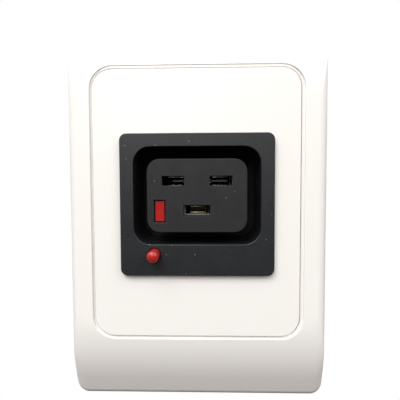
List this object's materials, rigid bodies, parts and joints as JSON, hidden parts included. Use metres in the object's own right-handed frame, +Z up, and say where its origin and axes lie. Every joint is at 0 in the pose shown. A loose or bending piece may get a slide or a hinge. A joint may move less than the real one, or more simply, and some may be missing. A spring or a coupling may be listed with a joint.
{
  "type": "locking power wall socket",
  "caption": "White wall plate with a black recessed appliance outlet that locks its plug and frees it when a red pin is pushed.",
  "frame": {"origin": "centre of the wall plate on the wall plane", "axes": "+Z up, +Y into the wall, the plate's front and the plug side face -Y, +X to the viewer's right"},
  "size_m": [0.0732, 0.0392, 0.1136],
  "materials": {
    "white_plastic": "satin moulded polycarbonate",
    "black_polyamide": "fine spark-eroded texture",
    "red_plastic": "smooth moulded",
    "brass": "rolled strip",
    "stainless_steel": "stamped strip and drawn wire",
    "zinc_plated_steel": "bright zinc plating",
    "nylon": "natural"
  },
  "bodies": {
    "socket": {"surround_cover": "white_plastic", "grid_plate": "white_plastic", "mounting_screw_top": "zinc_plated_steel", "mounting_screw_bottom": "zinc_plated_steel", "screw_retainer_top": "nylon", "screw_retainer_bottom": "nylon", "outlet_housing": "black_polyamide", "contact_carrier": "black_polyamide", "rear_cover": "black_polyamide", "cover_screw_left": "zinc_plated_steel", "cover_screw_right": "zinc_plated_steel", "line_contact": "brass", "neutral_contact": "brass", "earth_contact": "brass", "line_clip": "stainless_steel", "neutral_clip": "stainless_steel", "earth_clip": "stainless_steel", "lock_spring": "stainless_steel", "release_spring": "stainless_steel"},
    "release": {"release_slider": "red_plastic"},
    "lock": {"lock_plate": "stainless_steel"}
  },
  "joints": [
    {"name": "release_slide", "type": "slide", "parent": "socket", "child": "release", "axis": [0, 1, 0], "range_m": [0, 0.002], "stiffness_N_per_m": 500, "springref_m": -0.003, "deforming": ["release_spring"]},
    {"name": "lock_plate_tilt", "type": "hinge", "parent": "socket", "child": "lock", "pos_m": [0.0068, -0.00718, -0.00073], "axis": [0, 0, -1], "range_deg": [0, 6.98], "deforming": ["lock_spring"]}
  ],
  "couplings": [
    {"joint": "lock_plate_tilt", "follows": "release_slide", "rad_per_m": 60.9}
  ]
}
